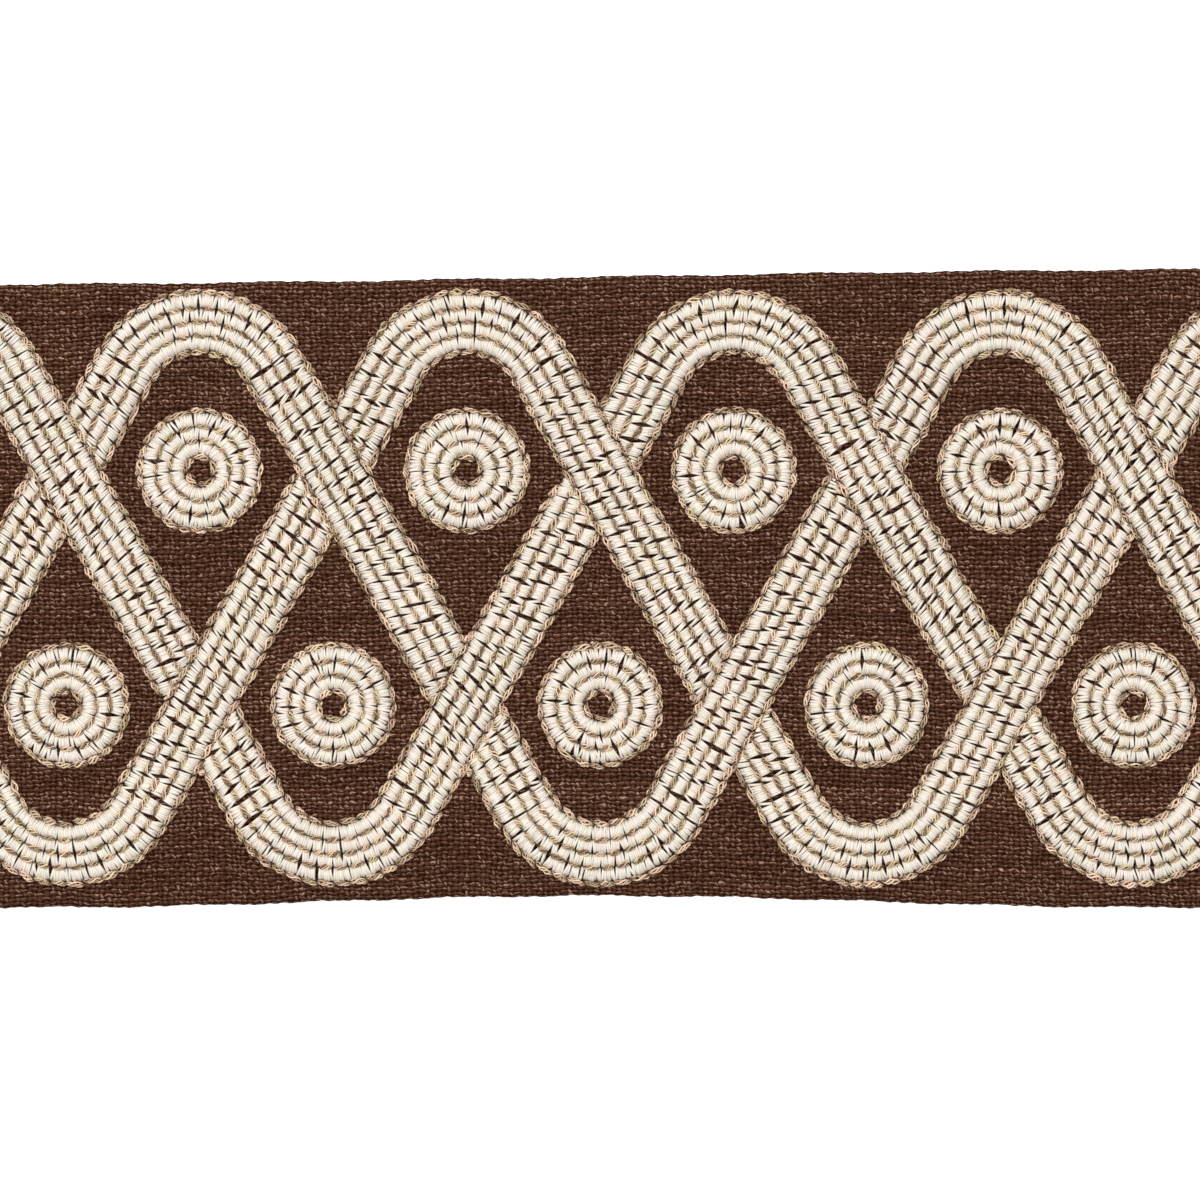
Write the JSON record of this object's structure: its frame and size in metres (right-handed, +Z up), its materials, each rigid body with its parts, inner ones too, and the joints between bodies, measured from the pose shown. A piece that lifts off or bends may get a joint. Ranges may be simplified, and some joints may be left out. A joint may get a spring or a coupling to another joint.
{
  "type": "embroidered tape trim",
  "caption": "Flat length of brown woven tape with turned-under edges and a raised cream embroidered plait with round motifs in its eyes.",
  "frame": {"origin": "middle of the tape's length and width, on the plane that its underside rests on", "axes": "+X along the tape's length, +Y across it towards the far long edge, +Z up through the embroidered face"},
  "size_m": [0.2534, 0.1106, 0.0038],
  "materials": {
    "brown_linen": "matte plain weave of slubbed yarns",
    "cream_satin_stitch": "soft sheen, fine satin stitches over padding",
    "tan_thread": "matte twisted thread in short stitches"
  },
  "bodies": {
    "root": {"ground_tape": "brown_linen", "plait_far_1": "cream_satin_stitch", "plait_far_2": "cream_satin_stitch", "plait_far_3": "cream_satin_stitch", "plait_far_4": "cream_satin_stitch", "plait_far_5": "cream_satin_stitch", "plait_far_6": "cream_satin_stitch", "plait_far_7": "cream_satin_stitch", "plait_near_1": "cream_satin_stitch", "plait_near_2": "cream_satin_stitch", "plait_near_3": "cream_satin_stitch", "plait_near_4": "cream_satin_stitch", "plait_near_5": "cream_satin_stitch", "plait_near_6": "cream_satin_stitch", "plait_near_7": "cream_satin_stitch", "roundel_1": "cream_satin_stitch", "roundel_2": "cream_satin_stitch", "roundel_3": "cream_satin_stitch", "roundel_4": "cream_satin_stitch", "roundel_5": "cream_satin_stitch", "roundel_6": "cream_satin_stitch", "roundel_7": "cream_satin_stitch", "roundel_8": "cream_satin_stitch", "roundel_9": "cream_satin_stitch", "roundel_10": "cream_satin_stitch", "roundel_11": "cream_satin_stitch"}
  },
  "joints": []
}
